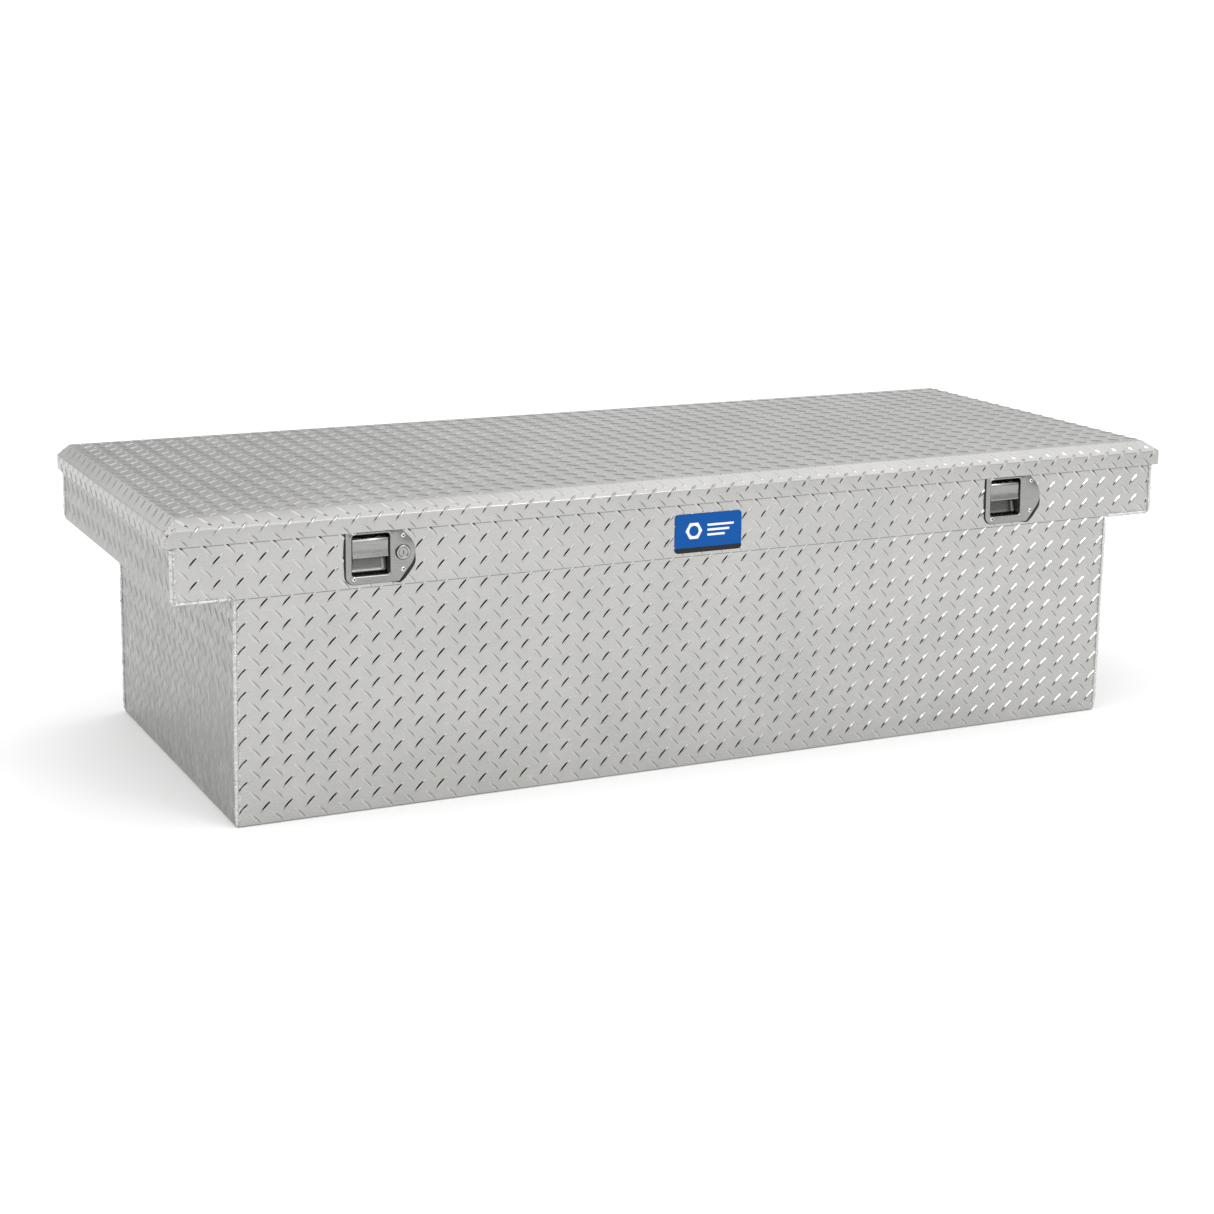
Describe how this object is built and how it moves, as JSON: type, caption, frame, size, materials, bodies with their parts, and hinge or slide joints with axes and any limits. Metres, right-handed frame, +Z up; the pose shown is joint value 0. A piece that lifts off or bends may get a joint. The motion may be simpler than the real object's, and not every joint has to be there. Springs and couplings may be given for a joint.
{
  "type": "truck tool box",
  "caption": "Crossover truck tool box of tread plate with a bevelled hinged lid, wings over the bed rails, flush paddle handles, a lock and gas struts.",
  "frame": {"origin": "centre of the underside of the whole box", "axes": "+X to the end without the lock, along the length; -Y is the front with the handles; +Z up"},
  "size_m": [1.77, 0.7, 0.476],
  "materials": {
    "tread_plate": "satin",
    "plain_aluminium": "satin",
    "weld": "satin",
    "stainless": "satin",
    "zinc_steel": "satin",
    "chrome": "polished",
    "black_rubber": "matte",
    "black_paint": "satin",
    "blue_badge": "satin"
  },
  "bodies": {
    "box": {"back_panel": "tread_plate", "badge": "blue_badge", "bottom_pan": "tread_plate", "front_panel": "tread_plate", "handle_dish_left": "stainless", "handle_dish_right": "stainless", "handle_gasket_left": "black_rubber", "handle_gasket_right": "black_rubber", "handle_rivets_left": "stainless", "handle_rivets_right": "stainless", "hinge_leaf_body": "zinc_steel", "hinge_pin": "zinc_steel", "hinge_rivets_body": "zinc_steel", "lock_body": "chrome", "lock_nut": "chrome", "lower_end_left": "tread_plate", "lower_end_right": "tread_plate", "rim_frame": "plain_aluminium", "shaft_bracket_1": "zinc_steel", "shaft_bracket_2": "zinc_steel", "shaft_bracket_3": "zinc_steel", "shaft_bracket_4": "zinc_steel", "strut_body_bracket_left": "zinc_steel", "strut_body_bracket_right": "zinc_steel", "weather_seal": "black_rubber", "weld_beads": "weld", "wing_end_left": "tread_plate", "wing_end_right": "tread_plate", "wing_floor_left": "tread_plate", "wing_floor_right": "tread_plate"},
    "latch_shaft": {"crank_left": "zinc_steel", "crank_right": "zinc_steel", "hook_left": "zinc_steel", "hook_right": "zinc_steel", "release_shaft": "zinc_steel"},
    "lid": {"hinge_leaf_lid": "zinc_steel", "hinge_rivets_lid": "zinc_steel", "lid_liner": "plain_aluminium", "lid_skin": "tread_plate", "lid_stiffener_front": "plain_aluminium", "lid_stiffener_middle": "plain_aluminium", "lid_stiffener_rear": "plain_aluminium", "striker_left": "zinc_steel", "striker_right": "zinc_steel", "strut_lid_bracket_left": "zinc_steel", "strut_lid_bracket_right": "zinc_steel"},
    "lock_core": {"lock_cam": "chrome", "lock_plug": "chrome"},
    "paddle_left_body": {"paddle_left": "stainless", "paddle_pin_left": "zinc_steel", "paddle_spring_left": "zinc_steel", "release_lever_left": "zinc_steel"},
    "paddle_right_body": {"paddle_pin_right": "zinc_steel", "paddle_right": "stainless", "paddle_spring_right": "zinc_steel", "release_lever_right": "zinc_steel"},
    "strut_cylinder_left": {"strut_cylinder_left": "black_paint"},
    "strut_cylinder_right": {"strut_cylinder_right": "black_paint"},
    "strut_rod_left": {"strut_rod_left": "chrome"},
    "strut_rod_right": {"strut_rod_right": "chrome"}
  },
  "joints": [
    {"name": "lid_hinge", "type": "hinge", "parent": "box", "child": "lid", "pos_m": [0, 0.3465, 0.448], "axis": [-1, 0, 0], "range_deg": [0, 80], "stiffness_Nm_per_rad": 8, "springref_deg": 97.4},
    {"name": "strut_cylinder_pivot_left", "type": "hinge", "parent": "box", "child": "strut_cylinder_left", "pos_m": [-0.765, 0.29151, 0.20412], "axis": [-1, 0, 0], "range_deg": [0, 40]},
    {"name": "strut_rod_pivot_left", "type": "hinge", "parent": "lid", "child": "strut_rod_left", "pos_m": [-0.765, 0.0967, 0.438], "axis": [-1, 0, 0], "range_deg": [-40, 0]},
    {"name": "paddle_hinge_left", "type": "hinge", "parent": "box", "child": "paddle_left_body", "pos_m": [-0.57, -0.33, 0.421], "axis": [-1, 0, 0], "range_deg": [0, 40], "stiffness_Nm_per_rad": 0.25, "springref_deg": -17.19},
    {"name": "strut_cylinder_pivot_right", "type": "hinge", "parent": "box", "child": "strut_cylinder_right", "pos_m": [0.765, 0.29151, 0.20412], "axis": [-1, 0, 0], "range_deg": [0, 40]},
    {"name": "strut_rod_pivot_right", "type": "hinge", "parent": "lid", "child": "strut_rod_right", "pos_m": [0.765, 0.0967, 0.438], "axis": [-1, 0, 0], "range_deg": [-40, 0]},
    {"name": "paddle_hinge_right", "type": "hinge", "parent": "box", "child": "paddle_right_body", "pos_m": [0.57, -0.33, 0.421], "axis": [-1, 0, 0], "range_deg": [0, 40], "stiffness_Nm_per_rad": 0.25, "springref_deg": -17.19},
    {"name": "latch_shaft_turn", "type": "hinge", "parent": "box", "child": "latch_shaft", "pos_m": [0, -0.3, 0.384], "axis": [1, 0, 0], "range_deg": [0, 25]},
    {"name": "lock_turn", "type": "hinge", "parent": "box", "child": "lock_core", "pos_m": [-0.519, -0.34, 0.399], "axis": [0, -1, 0], "range_deg": [0, 90]}
  ],
  "couplings": [
    {"joint": "strut_cylinder_pivot_left", "follows": "lid_hinge", "ratio": 0.5},
    {"joint": "strut_rod_pivot_left", "follows": "lid_hinge", "ratio": -0.5},
    {"joint": "strut_cylinder_pivot_right", "follows": "lid_hinge", "ratio": 0.5},
    {"joint": "strut_rod_pivot_right", "follows": "lid_hinge", "ratio": -0.5},
    {"joint": "paddle_hinge_right", "follows": "paddle_hinge_left", "ratio": 1},
    {"joint": "latch_shaft_turn", "follows": "paddle_hinge_left", "ratio": 0.625}
  ]
}
